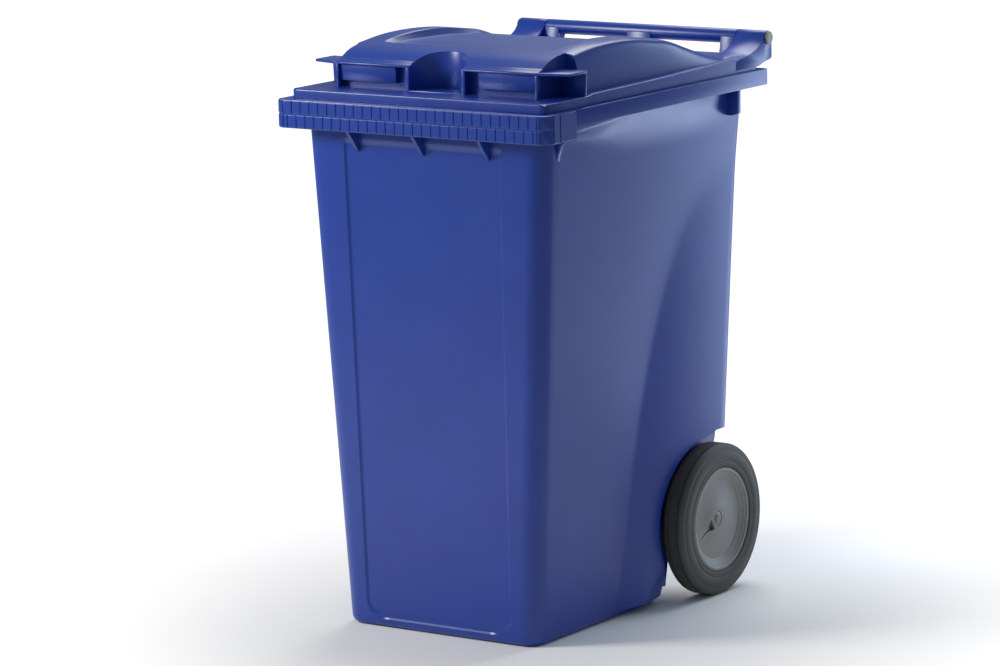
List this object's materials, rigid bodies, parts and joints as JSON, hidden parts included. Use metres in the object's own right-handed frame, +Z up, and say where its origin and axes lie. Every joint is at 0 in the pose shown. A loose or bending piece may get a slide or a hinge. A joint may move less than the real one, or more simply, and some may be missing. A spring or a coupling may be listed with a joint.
{
  "type": "wheelie bin",
  "caption": "Tapered waste bin with a hinged domed lid, a handle bar at the back and a wheel at each side of the base.",
  "frame": {"origin": "on the floor, in the middle of the closed bin's width and depth", "axes": "+Z up, front of the bin towards -Y, right-hand side seen from the front towards +X"},
  "size_m": [0.624, 0.829, 1.126],
  "materials": {
    "tub_plastic": "fine moulded satin",
    "lid_plastic": "fine moulded satin",
    "pin_plastic": "moulded satin",
    "axle_steel": "zinc plated",
    "washer_steel": "zinc plated",
    "hub_plastic": "moulded satin",
    "tyre_rubber": "moulded matt rubber",
    "bush_plastic": "natural moulded",
    "cap_plastic": "moulded satin",
    "catch_plastic": "moulded satin"
  },
  "bodies": {
    "tub": {"tub": "tub_plastic", "tub_rim": "tub_plastic", "tub_handle": "tub_plastic", "hinge_pin_left": "pin_plastic", "hinge_pin_right": "pin_plastic", "axle": "axle_steel", "axle_washer_left": "washer_steel", "axle_washer_right": "washer_steel"},
    "lid": {"lid": "lid_plastic"},
    "wheel_left": {"wheel_hub_left": "hub_plastic", "tyre_left": "tyre_rubber", "inner_bush_left": "bush_plastic", "outer_bush_left": "bush_plastic", "hub_cap_left": "cap_plastic"},
    "wheel_right": {"wheel_hub_right": "hub_plastic", "tyre_right": "tyre_rubber", "inner_bush_right": "bush_plastic", "outer_bush_right": "bush_plastic", "hub_cap_right": "cap_plastic"},
    "catch_left": {"wheel_catch_left": "catch_plastic"},
    "catch_right": {"wheel_catch_right": "catch_plastic"}
  },
  "joints": [
    {"name": "lid_hinge", "type": "hinge", "parent": "tub", "child": "lid", "pos_m": [0, 0.4, 1.08], "axis": [-1, 0, 0], "range_deg": [0, 270]},
    {"name": "wheel_left_spin", "type": "hinge", "parent": "tub", "child": "wheel_left", "pos_m": [-0.272, 0.2015, 0.15], "axis": [1, 0, 0], "continuous": true},
    {"name": "wheel_right_spin", "type": "hinge", "parent": "tub", "child": "wheel_right", "pos_m": [0.272, 0.2015, 0.15], "axis": [1, 0, 0], "continuous": true},
    {"name": "catch_left_slide", "type": "slide", "parent": "wheel_left", "child": "catch_left", "axis": [0, -0.8988, -0.4384], "range_m": [0, 0.004], "stiffness_N_per_m": 300},
    {"name": "catch_right_slide", "type": "slide", "parent": "wheel_right", "child": "catch_right", "axis": [0, -0.8988, -0.4384], "range_m": [0, 0.004], "stiffness_N_per_m": 300}
  ]
}
